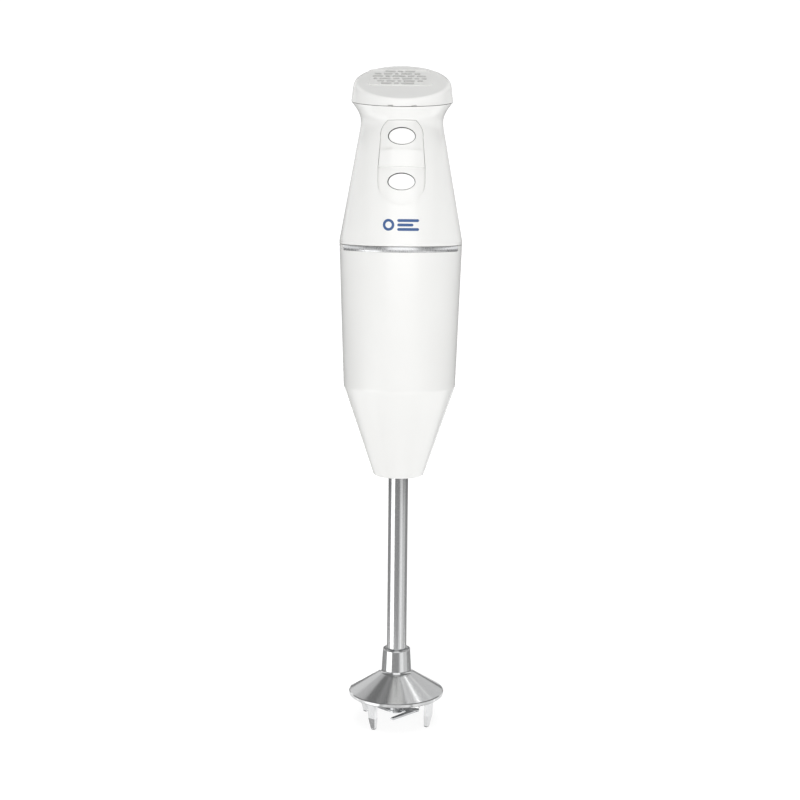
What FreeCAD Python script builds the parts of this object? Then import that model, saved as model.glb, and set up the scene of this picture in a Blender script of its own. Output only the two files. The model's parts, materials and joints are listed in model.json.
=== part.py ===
import FreeCAD, Part
import math
import os
from FreeCAD import Vector

# Corded immersion blender, standing on the four claws of its bell guard.
# Millimetres, +Z up along the drive axis, origin on that axis at the claw tips.
# The front, with the buttons, faces -Y and the mains cord enters at +Y.

# ---------------------------------------------------------------- driving dimensions
TURN = 360.0
WALL = 2.3
RUNNING = 0.05          # radial clearance of a turning fit
LOOSE = 0.08            # clearance round a piece that drops into an opening

# bell guard and claws
RIM_RADIUS = 26.0
RIM_BOTTOM = 15.5
RIM_TOP = 17.6
BELL_SKIN = 1.4
COLLAR_BASE_RADIUS = 8.25
COLLAR_BASE = 28.0
COLLAR_TOP_RADIUS = 7.5
COLLAR_TOP = 41.2
CLAW_RADIUS = 20.7
CLAW_ANGLE = 35.4       # first claw, measured from the front towards the left side
CLAW_COUNT = 4

# tube and housings
TUBE_RADIUS = 5.4
TUBE_BORE = 4.65
TUBE_BOTTOM = 27.5
TUBE_TOP = 157.5
NOSE_BOTTOM = 138.6
NOSE_RADIUS = 13.6
SHOULDER = 187.5
SHOULDER_RADIUS = 29.95
PARTING = 263.0
BODY_RADIUS = 32.5
SPIGOT_BOTTOM = 256.5
NECK_START = 318.5
NECK_START_RADIUS = 22.75
WAIST_RADIUS = 21.6

# tilted top of the handle and the wedge-shaped cap
DECK = 337.3
DECK_RADIUS = 26.5
DECK_TILT = 8.0
CAP_BOTTOM = 337.6
CAP_TOP = 347.9
CAP_TOP_RADIUS = 25.3
CAP_TILT = 22.0
CAP_EDGE = 2.6
GLAND_HEIGHT = 347.9
GLAND_BORE = 3.4
CAP_SCREW_X = 15.0
CLAMP_SCREW_X = 6.8
PRY_SLOT_X = 6.0                # small slots in the cap's front lower edge

# front control group
PANEL_HEIGHT = 307.75
PANEL_RADIUS = 24.62
PANEL_SLOPE = 9.94
BUTTON_PITCH = 23.46
BUTTON_HALF = (6.7, 4.1)
BUTTON_GAP = 0.45
BUTTON_SHIFT = (0.1, -0.15)     # the caps sit a little low and to one side in their openings
PLATE_RECESS = 0.8
BRIDGE_RISE = 0.35
PLATE_BACK = -5.0
BRIDGE_TOP = 4.6
BRIDGE_BOTTOM = -4.1
BRIDGE_GROOVE = 0.22            # step between the bridge's sides and the plate's outline
POST_X = 6.5

# blade
BLADE_BOTTOM = 5.1
BLADE_THICK = 1.1
BLADE_SEAT = 2.9
BLADE_BEND = 17.0       # how far the second wing is bent up

# drive line
DRIVE_SHAFT_RADIUS = 2.5
DRIVE_SHAFT_BOTTOM = 7.8
DRIVE_SHAFT_TOP = 167.8
MOTOR_SHAFT_RADIUS = 3.0
MOTOR_SHAFT_BOTTOM = 168.2
MOTOR_SHAFT_TOP = 268.0
STACK_BOTTOM = 207.0
STACK_TOP = 235.0
ARMATURE_RADIUS = 14.0
AIR_GAP = 0.4
SLOT_COUNT = 12
STATOR_RADIUS = 25.2
STATOR_BORE = 19.6
BOLT_CIRCLE = 22.4
BOLT_RADIUS = 1.6
BRACKET_LOW = 190.1
BRACKET_HIGH = 257.0
BRACKET_THICK = 3.0
COMMUTATOR_RADIUS = 9.5
BRUSH_HEIGHT = 249.3

X_AXIS = Vector(1, 0, 0)
Y_AXIS = Vector(0, 1, 0)
Z_AXIS = Vector(0, 0, 1)
ORIGIN = Vector(0, 0, 0)


# ---------------------------------------------------------------- shape helpers
def wire_of(points):
    """Closed wire of straight sides, and an arc where an entry holds two points (middle, end)."""
    corners = [p[1] if isinstance(p[0], tuple) else p for p in points]
    edges = []
    for i, entry in enumerate(points):
        start = Vector(*corners[i - 1])
        end = Vector(*corners[i])
        if isinstance(entry[0], tuple):
            edges.append(Part.Arc(start, Vector(*entry[0]), end).toShape())
        else:
            edges.append(Part.LineSegment(start, end).toShape())
    return Part.Wire(edges)


def revolved(points, angle=TURN):
    """Solid of revolution about Z from an outline given as (radius, height) points and arcs."""
    spatial = []
    for entry in points:
        if isinstance(entry[0], tuple):
            spatial.append(tuple((r, 0, z) for r, z in entry))
        else:
            spatial.append((entry[0], 0, entry[1]))
    return Part.Face(wire_of(spatial)).revolve(ORIGIN, Z_AXIS, angle)


def tube(inner, outer, bottom, top):
    """Round ring with a vertical axis on the drive axis."""
    ring = Part.makeCylinder(outer, top - bottom, Vector(0, 0, bottom))
    return ring.cut(Part.makeCylinder(inner, top - bottom, Vector(0, 0, bottom)))


def rod(radius, start, end):
    """Round bar between two points."""
    a = Vector(*start)
    b = Vector(*end)
    return Part.makeCylinder(radius, (b - a).Length, a, b - a)


def block(x, y, z):
    """Box from three (low, high) pairs."""
    return Part.makeBox(x[1] - x[0], y[1] - y[0], z[1] - z[0], Vector(x[0], y[0], z[0]))


def turned(shape, angle):
    """Copy of a shape turned about the drive axis."""
    copy = shape.copy()
    copy.rotate(ORIGIN, Z_AXIS, angle)
    return copy


def around(shape, count, first=0.0):
    """Copies of a shape spaced evenly about the drive axis."""
    return [turned(shape, first + i * TURN / count) for i in range(count)]


def fused(shapes):
    """One solid from overlapping shapes."""
    whole = shapes[0].multiFuse(shapes[1:]) if len(shapes) > 1 else shapes[0]
    return whole.removeSplitter()


def hexagon_nut(across_flats, bore, bottom, top, centre=(0, 0)):
    """Hexagon nut with a plain bore."""
    corner = across_flats / math.sqrt(3)
    angles = [math.radians(60 * i) for i in range(6)]
    ring = [Vector(corner * math.cos(a), corner * math.sin(a), bottom) for a in angles]
    prism = Part.Face(Part.makePolygon(ring + ring[:1])).extrude(Vector(0, 0, top - bottom))
    nut = prism.cut(Part.makeCylinder(bore, top - bottom, Vector(0, 0, bottom)))
    nut.translate(Vector(centre[0], centre[1], 0))
    return nut


def coil_spring(mean_radius, wire_radius, length, turns):
    """Helical spring standing on Z = 0, its wire bent in short runs and arcs along a helix."""
    per_turn = 8
    pitch = (length - 2 * wire_radius) / turns
    points = []
    for i in range(turns * per_turn + 1):
        angle = TURN * i / per_turn
        spot = Vector(mean_radius, 0, wire_radius + pitch * i / per_turn)
        points.append(turned(Part.Vertex(spot), angle).Point)
    return tube_along(points, wire_radius)


def tilted_ring(radius, height, tilt):
    """Closed curve that is a circle in plan, in a plane that drops towards the front by the tilt."""
    count = 24
    points = []
    for i in range(count):
        angle = 2 * math.pi * i / count
        y = radius * math.sin(angle)
        points.append(Vector(radius * math.cos(angle), y, height + y * math.tan(math.radians(tilt))))
    curve = Part.BSplineCurve()
    curve.interpolate(Points=points, PeriodicFlag=True)
    return Part.Wire([curve.toShape()])


def skinned(rings, ruled=False):
    """Solid through a stack of tilted rings given as (radius, height, tilt)."""
    return Part.makeLoft([tilted_ring(*ring) for ring in rings], True, ruled)


def on_panel(shape):
    """Places a shape from the panel's frame on the handle: X across, Y up the slope, Z outward."""
    shape.rotate(ORIGIN, X_AXIS, 90 - PANEL_SLOPE)
    shape.translate(Vector(0, -PANEL_RADIUS, PANEL_HEIGHT))
    return shape


def on_deck(shape):
    """Places a shape made standing on a level deck on the handle's tilted deck."""
    shape.rotate(ORIGIN, X_AXIS, DECK_TILT)
    shape.translate(Vector(0, 0, DECK))
    return shape


def tube_along(points, radius):
    """Round wire along straight runs, with the largest arcs that its corners leave room for."""
    share = 0.45
    path = [Vector(*p) for p in points]
    edges = []
    start = path[0]
    for before, corner, after in zip(path, path[1:], path[2:]):
        reach = share * min((corner - before).Length, (after - corner).Length)
        enter = corner + (before - corner).normalize() * reach
        leave = corner + (after - corner).normalize() * reach
        turn = (corner - before).getAngle(after - corner)
        bisector = (enter + leave) * 0.5 - corner
        bend = reach / math.tan(turn / 2)
        centre = corner + bisector * ((reach ** 2 + bend ** 2) ** 0.5 / bisector.Length)
        middle = centre - bisector.normalize() * bend
        edges.append(Part.LineSegment(start, enter).toShape())
        edges.append(Part.Arc(enter, middle, leave).toShape())
        start = leave
    edges.append(Part.LineSegment(start, path[-1]).toShape())
    section = Part.Wire([Part.makeCircle(radius, path[0], path[1] - path[0])])
    return Part.Wire(edges).makePipeShell([section], True, True)


# ---------------------------------------------------------------- shared outer surfaces
def handle_radius(height):
    """Outer radius of the handle's straight taper at a height."""
    top_of_band = PARTING + 1.8
    share = (height - top_of_band) / (NECK_START - top_of_band)
    return BODY_RADIUS + share * (NECK_START_RADIUS - BODY_RADIUS)


def handle_taper(offset=0.0, bottom=PARTING + 1.8, top=332.0):
    """Solid cone inside the handle's straight taper, moved out by the offset."""
    return revolved([
        (0, bottom),
        (handle_radius(bottom) + offset, bottom),
        (handle_radius(top) + offset, top),
        (0, top),
    ])


def under_plane(height, tilt):
    """Large block below a plane that crosses the axis at the height and drops towards the front."""
    slab = block((-60, 60), (-60, 60), (-120, 0))
    slab.rotate(ORIGIN, X_AXIS, tilt)
    slab.translate(Vector(0, 0, height))
    return slab


def handle_outside():
    """Solid inside the handle's outer surface: band, straight taper, waist and flare up to the deck."""
    bottom = PARTING - 1.0
    steps = 5
    rings = []
    for i in range(steps):
        height = bottom + (NECK_START - bottom) * i / steps
        rings.append((handle_radius(height), height, 0))
    rings += [
        (NECK_START_RADIUS, NECK_START, 0),
        (21.98, 322.6, 0.8),
        (WAIST_RADIUS, 326.2, 2.2),
        (21.95, 329.6, 4.0),
        (23.1, 332.4, 5.6),
        (24.8, 335.0, 7.0),
        (DECK_RADIUS, DECK, DECK_TILT),
    ]
    band = Part.makeCylinder(BODY_RADIUS, 90, Vector(0, 0, PARTING + 0.25))
    return skinned(rings).common(band)


def handle_hollow():
    """Space inside the handle, closed above by the deck."""
    space = revolved([
        (0, 266.2),
        (handle_radius(266.2) - WALL, 266.2),
        (NECK_START_RADIUS - WALL, NECK_START),
        (WAIST_RADIUS - WALL, 325.0),
        (WAIST_RADIUS - WALL, 345.0),
        (0, 345.0),
    ])
    mouth = Part.makeCylinder(27.75, 12, Vector(0, 0, PARTING - 5))
    return space.common(under_plane(DECK - WALL, DECK_TILT)).fuse(mouth)


def panel_outline(margin=0.0):
    """Closed outline of the button plate in the panel's frame: flat top, flared sides, round bottom."""
    m = margin
    top_half = 7.1 + m
    side_high = 10.9 + m
    side_low = 12.1 + m
    round_centre = -BUTTON_PITCH / 2
    corner = (9.9 + m, 16.6 + m * 0.5)
    return wire_of([
        (top_half, 19.8 + m, 0),
        ((corner[0], corner[1], 0), (side_high, 11.0, 0)),
        (side_low, BRIDGE_BOTTOM, 0),
        (side_low, round_centre, 0),
        ((0, round_centre - side_low, 0), (-side_low, round_centre, 0)),
        (-side_low, BRIDGE_BOTTOM, 0),
        (-side_high, 11.0, 0),
        ((-corner[0], corner[1], 0), (-top_half, 19.8 + m, 0)),
    ])


def panel_prism(margin, low, high):
    """The plate's outline pulled along the panel's normal, placed on the handle."""
    prism = Part.Face(panel_outline(margin)).extrude(Vector(0, 0, high - low))
    prism.translate(Vector(0, 0, low))
    return on_panel(prism)


def oval(half, low, high, centre_y):
    """Elliptical prism in the panel's frame."""
    curve = Part.Ellipse(ORIGIN, half[0], half[1])
    prism = Part.Face(Part.Wire([curve.toShape()])).extrude(Vector(0, 0, high - low))
    prism.translate(Vector(0, centre_y, low))
    return prism


# ---------------------------------------------------------------- bell guard, tube and blade
def claw():
    """One claw on the front (-Y) side: a flat tapering prong with a round tip."""
    side = wire_of([
        (0, -20.7, 19.0),
        (0, -20.1, 8.0),
        (0, -19.7, 1.0),
        ((0, -CLAW_RADIUS, 0.0), (0, -21.7, 1.0)),
        (0, -23.0, 7.0),
        (0, -23.4, 15.0),
        (0, -23.6, 18.0),
    ])
    depth = Part.Face(side).extrude(Vector(6, 0, 0))
    depth.translate(Vector(-3, 0, 0))
    face = wire_of([
        (2.4, 0, 19.6),
        (-2.4, 0, 19.6),
        (-2.1, 0, 7.0),
        (-1.25, 0, 1.1),
        ((0, 0, 0.0), (1.25, 0, 1.1)),
        (2.1, 0, 7.0),
    ])
    width = Part.Face(face).extrude(Vector(0, -30, 0))
    return depth.common(width)


def bell_guard():
    slope = math.radians(31.2)
    rise = math.tan(slope)
    inside_rim = RIM_RADIUS - BELL_SKIN
    seal_seat = 6.0
    seat_top = 25.5
    boss = 8.2
    bell = revolved([
        (RIM_RADIUS - 0.35, RIM_BOTTOM),
        (RIM_RADIUS, RIM_BOTTOM + 0.35),
        (RIM_RADIUS, RIM_TOP - 0.3),
        (RIM_RADIUS - 0.4, RIM_TOP + 0.1),
        (9.7, RIM_TOP + (RIM_RADIUS - 9.7) * rise),
        ((8.65, 28.2), (COLLAR_BASE_RADIUS - 0.1, COLLAR_BASE + 1.5)),
        (COLLAR_TOP_RADIUS + 0.05, COLLAR_TOP - 0.7),
        ((COLLAR_TOP_RADIUS - 0.15, COLLAR_TOP - 0.15), (COLLAR_TOP_RADIUS - 0.6, COLLAR_TOP)),
        (TUBE_RADIUS + 0.75, COLLAR_TOP),
        (TUBE_RADIUS + 0.03, COLLAR_TOP - 1.1),
        (TUBE_RADIUS + 0.03, TUBE_BOTTOM - 0.1),
        (TUBE_BORE, TUBE_BOTTOM - 0.1),
        (TUBE_BORE, seat_top),
        (seal_seat, seat_top),
        (seal_seat, 17.8),
        (boss, 17.8),
        (boss, 23.6),
        ((9.0, 25.4), (10.9, 25.3)),
        (inside_rim - 0.5, RIM_TOP - 0.6),
        ((inside_rim, RIM_TOP - 1.2), (inside_rim + 0.1, RIM_BOTTOM + 0.2)),
        (inside_rim + 0.3, RIM_BOTTOM),
    ])
    return fused([bell] + around(claw(), CLAW_COUNT, -CLAW_ANGLE))


def shaft_tube():
    return tube(TUBE_BORE, TUBE_RADIUS, TUBE_BOTTOM, TUBE_TOP)


def shaft_bush(bottom, top):
    return tube(DRIVE_SHAFT_RADIUS + RUNNING, TUBE_BORE, bottom, top)


def shaft_seal():
    """Rubber lip seal: a cup whose lip almost closes on the shaft."""
    return revolved([
        (DRIVE_SHAFT_RADIUS + 0.06, 19.9),
        (3.3, 19.5),
        (3.6, 22.6),
        (4.9, 22.6),
        (4.9, 19.5),
        (5.95, 19.5),
        (5.95, 25.3),
        (3.4, 25.3),
    ])


def seal_retainer():
    return tube(3.3, 5.97, 18.2, 19.4)


def splash_disc():
    return revolved([
        (DRIVE_SHAFT_RADIUS, 15.4),
        (4.2, 15.4),
        (5.7, 16.2),
        (5.7, 16.9),
        (DRIVE_SHAFT_RADIUS, 16.9),
    ])


def drive_pin():
    pin = rod(0.75, (-3.6, 0, 12.4), (3.6, 0, 12.4))
    return pin


def drive_shaft():
    groove = tube(2.0, 4.0, 158.0, 158.7)
    shaft = revolved([
        (0, DRIVE_SHAFT_BOTTOM),
        (1.9, DRIVE_SHAFT_BOTTOM),
        (DRIVE_SHAFT_RADIUS, DRIVE_SHAFT_BOTTOM + 0.8),
        (DRIVE_SHAFT_RADIUS, DRIVE_SHAFT_TOP),
        (0, DRIVE_SHAFT_TOP),
    ])
    return shaft.cut(groove).cut(drive_pin())


def shaft_clip():
    """Spring clip in the drive shaft's groove, open on one side."""
    ring = tube(2.0, 4.4, 158.0, 158.7)
    return ring.cut(block((-1.6, 1.6), (0, 5), (157, 160)))


def blade_hub():
    """Hub that pushes onto the drive shaft, with a drive pin slot and a riveted seat for the blade."""
    seat_top = BLADE_BOTTOM + BLADE_THICK
    hub = revolved([
        (0, BLADE_BOTTOM - 0.4),
        (3.3, BLADE_BOTTOM - 0.4),
        (3.7, BLADE_BOTTOM - 0.15),
        (3.7, BLADE_BOTTOM),
        (BLADE_SEAT, BLADE_BOTTOM),
        (BLADE_SEAT, seat_top),
        (4.1, seat_top),
        (4.1, 14.6),
        (DRIVE_SHAFT_RADIUS + 0.04, 14.6),
        (DRIVE_SHAFT_RADIUS + 0.04, 7.5),
        (0, 7.5),
    ])
    slot = block((-5, 5), (-0.82, 0.82), (11.5, 15))
    return hub.cut(slot)


def blade_wing():
    """One arm of the blade towards +X and its swept-back cutting wing, which ends a little lower."""
    level = BLADE_BOTTOM
    corner = Vector(10.6, -0.6, level)
    tip = Vector(-2.1, -12.6, level - 0.9)
    arm = wire_of([
        (4.2, 2.0, level),
        (4.2, -2.0, level),
        (11.2, -2.6, level),
        ((12.9, -0.9, level), (11.4, 1.0, level)),
    ])
    arm = Part.Face(arm).extrude(Vector(0, 0, BLADE_THICK))
    along = (tip - corner).normalize()
    across = along.cross(Z_AXIS).normalize()
    up = across.cross(along)
    pitch = 0.12

    def section(at, back, front):
        """Wedge section of the wing: blunt at the back, ground to an edge at the front."""
        lean = across + up * pitch
        points = [
            at - lean * back,
            at + lean * front,
            at + lean * (front - 1.0) + up * BLADE_THICK,
            at - lean * back + up * BLADE_THICK,
        ]
        return Part.Wire(Part.makePolygon(points + points[:1]))

    wing = Part.makeLoft([section(corner - along * 0.4, 1.6, 1.9), section(tip, 0.8, 1.7)], True, True)
    return fused([arm, wing])


def cutting_blade():
    """Z-shaped blade: one wing low, the other bent up, riveted to the hub through its centre."""
    centre = Part.makeCylinder(4.7, BLADE_THICK, Vector(0, 0, BLADE_BOTTOM))
    raised = blade_wing()
    raised.rotate(Vector(4.2, 0, BLADE_BOTTOM + BLADE_THICK / 2), Y_AXIS, -BLADE_BEND)
    blade = fused([centre, blade_wing(), turned(raised, 180)])
    return blade.cut(Part.makeCylinder(BLADE_SEAT + 0.02, 10, Vector(0, 0, BLADE_BOTTOM - 4)))


# ---------------------------------------------------------------- housings, cap and trim
def lower_housing():
    bead = 0.9
    body = revolved([
        (TUBE_RADIUS + RUNNING, NOSE_BOTTOM),
        (NOSE_RADIUS - bead, NOSE_BOTTOM),
        ((NOSE_RADIUS - 0.2, NOSE_BOTTOM + 0.3), (NOSE_RADIUS + 0.15, NOSE_BOTTOM + bead)),
        (SHOULDER_RADIUS - 0.45, SHOULDER - 1.4),
        ((SHOULDER_RADIUS - 0.05, SHOULDER), (SHOULDER_RADIUS + 0.07, SHOULDER + 1.6)),
        (BODY_RADIUS - 0.1, PARTING - 3.0),
        (BODY_RADIUS - 0.05, PARTING - 0.1),
        (30.05, PARTING - 0.1),
        (30.0, 255.5),
        (27.65, 188.0),
        (27.2, 186.5),
        (22.0, 186.5),
        (22.0, 183.5),
        (25.7, 183.0),
        (12.1, 141.6),
        (9.0, 141.6),
        (9.0, 152.0),
        (TUBE_RADIUS + RUNNING, 152.0),
        (TUBE_RADIUS + RUNNING, 146.5),
        (7.2, 146.5),
        (7.2, 144.5),
        (TUBE_RADIUS + RUNNING, 144.5),
    ])
    return body.cut(trim_sector(31.6, BODY_RADIUS + 1, 260.1, PARTING, 67.6))


def trim_sector(inner, outer, bottom, top, half_angle):
    """Part ring centred on the front."""
    sector = revolved([(inner, bottom), (outer, bottom), (outer, top), (inner, top)], 2 * half_angle)
    return turned(sector, -90 - half_angle)


def trim_strip():
    """Bright strip in the front of the parting line, slightly crowned, with round ends."""
    half_angle = 67.0
    section = revolved([
        (31.65, 260.2),
        (BODY_RADIUS - 0.2, 260.2),
        ((BODY_RADIUS, 261.5), (BODY_RADIUS - 0.2, 262.8)),
        (31.65, 262.8),
    ], 2 * half_angle)
    return turned(section, -90 - half_angle)


def upper_housing():
    shell = handle_outside().cut(handle_hollow())
    spigot = tube(27.75, 29.85, SPIGOT_BOTTOM, PARTING + 1)
    lip = on_deck(tube(21.2, 22.6, -0.6, 1.6))
    shell = fused([shell, spigot, lip])
    shell = shell.cut(panel_prism(LOOSE, -12, 6))
    cord_hole = on_deck(Part.makeCylinder(4.2, 8, Vector(0, 4.5, -5)))
    screw_holes = [on_deck(rod(1.6, (x, -3, -5), (x, -3, 3))) for x in (-CAP_SCREW_X, CAP_SCREW_X)]
    clamp_holes = [on_deck(rod(1.4, (x, 13, -5), (x, 13, 3))) for x in (-CLAMP_SCREW_X, CLAMP_SCREW_X)]
    for hole in [cord_hole] + screw_holes + clamp_holes:
        shell = shell.cut(hole)
    return shell


def cap_outside():
    """Wedge-shaped cap without its hollow: drafted wall, top sloping down to the front, rounded edge."""
    wedge = skinned([
        (DECK_RADIUS + 0.1, CAP_BOTTOM, DECK_TILT),
        (CAP_TOP_RADIUS, CAP_TOP, CAP_TILT),
    ], True)
    top_face = max(wedge.Faces, key=lambda face: face.CenterOfMass.z)
    return wedge.makeFillet(CAP_EDGE, top_face.Edges)


def cap_hollow():
    """Space inside the cap, closed above by its sloping top."""
    space = Part.makeCylinder(CAP_TOP_RADIUS - WALL, 40, Vector(0, 0, CAP_BOTTOM - 10))
    return space.common(under_plane(CAP_TOP - WALL, CAP_TILT))


def top_cap():
    hollow = cap_hollow()
    shell = cap_outside().cut(hollow)
    bosses = []
    for x in (-CAP_SCREW_X, CAP_SCREW_X):
        boss = on_deck(rod(3.5, (x, -3, 0.3), (x, -3, 20)))
        bosses.append(boss.common(under_plane(CAP_TOP - 1, CAP_TILT)))
    shell = fused([shell] + bosses)
    for x in (-CAP_SCREW_X, CAP_SCREW_X):
        shell = shell.cut(on_deck(rod(1.45, (x, -3, -2), (x, -3, 6.2))))
    for x in (-PRY_SLOT_X, PRY_SLOT_X):
        shell = shell.cut(on_deck(block((x - 1.3, x + 1.3), (-30, -24.6), (-1, 0.85))))
    return shell.cut(rod(4.6, (0, 15, GLAND_HEIGHT), (0, 35, GLAND_HEIGHT)))


def cord_gland():
    """Rubber gland in the cap's rear wall, with a flange on each side of the wall."""
    profile = [
        (GLAND_BORE, 20.0),
        (5.6, 20.0),
        (5.6, 21.9),
        (4.55, 21.9),
        (4.55, 26.7),
        (5.4, 26.7),
        (5.4, 27.5),
        (4.7, 28.4),
        (GLAND_BORE, 28.4),
    ]
    gland = revolved(profile)
    gland.rotate(ORIGIN, X_AXIS, -90)
    gland.translate(Vector(0, 0, GLAND_HEIGHT))
    return gland


def cap_screws():
    screws = []
    for x in (-CAP_SCREW_X, CAP_SCREW_X):
        shank = rod(1.45, (x, -3, -2.4), (x, -3, 5.8))
        head = rod(2.7, (x, -3, -4.2), (x, -3, -2.35))
        recess = block((x - 0.4, x + 0.4), (-5, -1), (-4.3, -3.4))
        screws.append(on_deck(fused([shank, head]).cut(recess)))
    return Part.Compound(screws)


def cord_clamp():
    """Saddle that grips the cord's jacket on the deck."""
    saddle = block((-9.6, 9.6), (10.6, 15.4), (0.05, 7.6))
    tunnel = rod(3.4, (0, 5, 3.4), (0, 20, 3.4))
    mouth = block((-3.4, 3.4), (5, 20), (-1, 3.4))
    saddle = saddle.cut(tunnel).cut(mouth)
    for x in (-CLAMP_SCREW_X, CLAMP_SCREW_X):
        saddle = saddle.cut(rod(1.4, (x, 13, -1), (x, 13, 9)))
    return on_deck(saddle)


def clamp_screws():
    screws = []
    for x in (-CLAMP_SCREW_X, CLAMP_SCREW_X):
        shank = rod(1.4, (x, 13, -4.5), (x, 13, 7.7))
        head = rod(2.4, (x, 13, 7.6), (x, 13, 9.1))
        slot = block((x - 2.5, x + 2.5), (12.65, 13.35), (8.5, 9.5))
        screws.append(on_deck(fused([shank, head]).cut(slot)))
    return Part.Compound(screws)


# ---------------------------------------------------------------- front control group
def button_centre(which):
    """Height of a button's centre along the panel: the high-speed button is the upper one."""
    return BUTTON_PITCH / 2 if which == "high" else -BUTTON_PITCH / 2


def button_plate():
    """Plate round the buttons: sunk below the handle's surface, with a raised bridge between them."""
    raw = panel_prism(0, PLATE_BACK, 8)
    sunk = raw.common(handle_taper(-PLATE_RECESS))
    band = on_panel(block((-20, 20), (BRIDGE_BOTTOM, BRIDGE_TOP), (PLATE_BACK, 8)))
    bridge = panel_prism(-BRIDGE_GROOVE, PLATE_BACK, 8)
    bridge = bridge.common(handle_taper(BRIDGE_RISE)).common(band)
    posts = [on_panel(rod(2.4, (x, 0, -12.1), (x, 0, PLATE_BACK + 0.5))) for x in (-POST_X, POST_X)]
    plate = fused([sunk, bridge] + posts)
    half = (BUTTON_HALF[0] + BUTTON_GAP, BUTTON_HALF[1] + BUTTON_GAP)
    for which in ("low", "high"):
        plate = plate.cut(on_panel(oval(half, -20, 8, button_centre(which))))
    for x in (-POST_X, POST_X):
        plate = plate.cut(on_panel(rod(1.0, (x, 0, -13), (x, 0, -7.5))))
    return plate


def button(which):
    """Oval button: cap, retaining flange behind the plate and a stem to the switch."""
    y = button_centre(which)
    cap = oval(BUTTON_HALF, -6.0, 6, y)
    cap.translate(Vector(*BUTTON_SHIFT, 0))
    cap = on_panel(cap).common(handle_taper(-PLATE_RECESS + 0.25))
    flange = on_panel(oval((8.0, 5.4), -6.5, PLATE_BACK - 0.12, y))
    stem = on_panel(rod(1.9, (0, y, -14.2), (0, y, -6.3)))
    return fused([cap, flange, stem])


def button_spring(which):
    spring = coil_spring(2.9, 0.25, 5.4, 5)
    spring.translate(Vector(0, button_centre(which), -12.0))
    return on_panel(spring)


def switch_plunger(which):
    y = button_centre(which)
    return on_panel(block((-1.5, 1.5), (y - 0.75, y + 0.75), (-18.0, -14.2)))


def switch_carrier():
    """Moulded tray that holds both switches behind the plate."""
    tray = block((-10.7, 10.7), (-20, 20), (-26.0, -12.1))
    tray = tray.cut(block((-9.2, 9.2), (-18.6, 18.6), (-27, -13.6)))
    for which in ("low", "high"):
        tray = tray.cut(rod(2.3, (0, button_centre(which), -14), (0, button_centre(which), -12)))
    for x in (-POST_X, POST_X):
        tray = tray.cut(rod(1.05, (x, 0, -14), (x, 0, -12)))
    return on_panel(tray)


def carrier_screws():
    screws = []
    for x in (-POST_X, POST_X):
        shank = rod(1.0, (x, 0, -13.7), (x, 0, -8.0))
        head = rod(1.9, (x, 0, -14.9), (x, 0, -13.62))
        screws.append(on_panel(fused([shank, head])))
    return Part.Compound(screws)


def microswitch(which):
    """Snap-action switch with its plunger's well and three pins that reach the board."""
    y = button_centre(which)
    case = block((-6.4, 6.4), (y - 3.1, y + 3.1), (-22.6, -16.6))
    well = block((-1.6, 1.6), (y - 0.85, y + 0.85), (-20.6, -16))
    pins = [block((x - 0.45, x + 0.45), (y - 0.25, y + 0.25), (-23.55, -22.5)) for x in (-5.1, 0, 5.1)]
    return on_panel(fused([case.cut(well)] + pins))


def control_board():
    return on_panel(block((-9.0, 9.0), (-18.4, 18.4), (-25.2, -23.6)))


def suppression_capacitor():
    body = block((-6.5, 6.5), (-16.5, -10.5), (-36.2, -25.3))
    return on_panel(body.makeFillet(0.8, body.Edges))


def rectifier_diode():
    body = rod(1.35, (-2.6, 6, -27.3), (2.6, 6, -27.3))
    leads = [rod(0.4, (-6, 6, -27.3), (6, 6, -27.3))]
    leads += [rod(0.4, (x, 6, -27.6), (x, 6, -25.25)) for x in (-5.8, 5.8)]
    return on_panel(fused([body] + leads))


def varistor():
    disc = rod(4.2, (-1.7, -3.5, -30.4), (1.7, -3.5, -30.4))
    legs = [rod(0.35, (0, y, -28.0), (0, y, -25.25)) for y in (-5.3, -1.7)]
    return on_panel(fused([disc] + legs))


# ---------------------------------------------------------------- motor
def motor_shaft():
    return rod(MOTOR_SHAFT_RADIUS, (0, 0, MOTOR_SHAFT_BOTTOM), (0, 0, MOTOR_SHAFT_TOP))


def armature_slots(width, inner, outer, bottom, top):
    bar = block((inner, outer), (-width / 2, width / 2), (bottom, top))
    return around(bar, SLOT_COUNT)


def armature_core():
    core = tube(MOTOR_SHAFT_RADIUS, ARMATURE_RADIUS, STACK_BOTTOM, STACK_TOP)
    for slot in armature_slots(2.3, 7.0, 12.9, STACK_BOTTOM - 1, STACK_TOP + 1):
        core = core.cut(slot)
    for mouth in armature_slots(1.0, 12.0, 16.0, STACK_BOTTOM - 1, STACK_TOP + 1):
        core = core.cut(mouth)
    return core


def armature_winding():
    """Enamelled winding: bars in the slots joined by rounded end turns."""
    def end_turn(near, far):
        return revolved([
            (MOTOR_SHAFT_RADIUS + 1.0, near),
            (12.6, near),
            ((12.2, near + (far - near) * 0.75), (9.8, far)),
            (MOTOR_SHAFT_RADIUS + 1.0, far),
        ])
    bars = armature_slots(2.2, 7.1, 12.8, STACK_BOTTOM - 0.5, STACK_TOP + 0.5)
    return fused([end_turn(STACK_BOTTOM - 0.05, 201.7), end_turn(STACK_TOP + 0.05, 241.2)] + bars)


def commutator():
    segments = 22
    body = revolved([
        (MOTOR_SHAFT_RADIUS, 243.0),
        (11.0, 243.0),
        (11.0, 244.5),
        (COMMUTATOR_RADIUS, 244.5),
        (COMMUTATOR_RADIUS, 255.3),
        (MOTOR_SHAFT_RADIUS, 255.3),
    ])
    groove = block((COMMUTATOR_RADIUS - 0.9, 12), (-0.2, 0.2), (242, 256))
    for cut in around(groove, segments):
        body = body.cut(cut)
    return body


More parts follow.
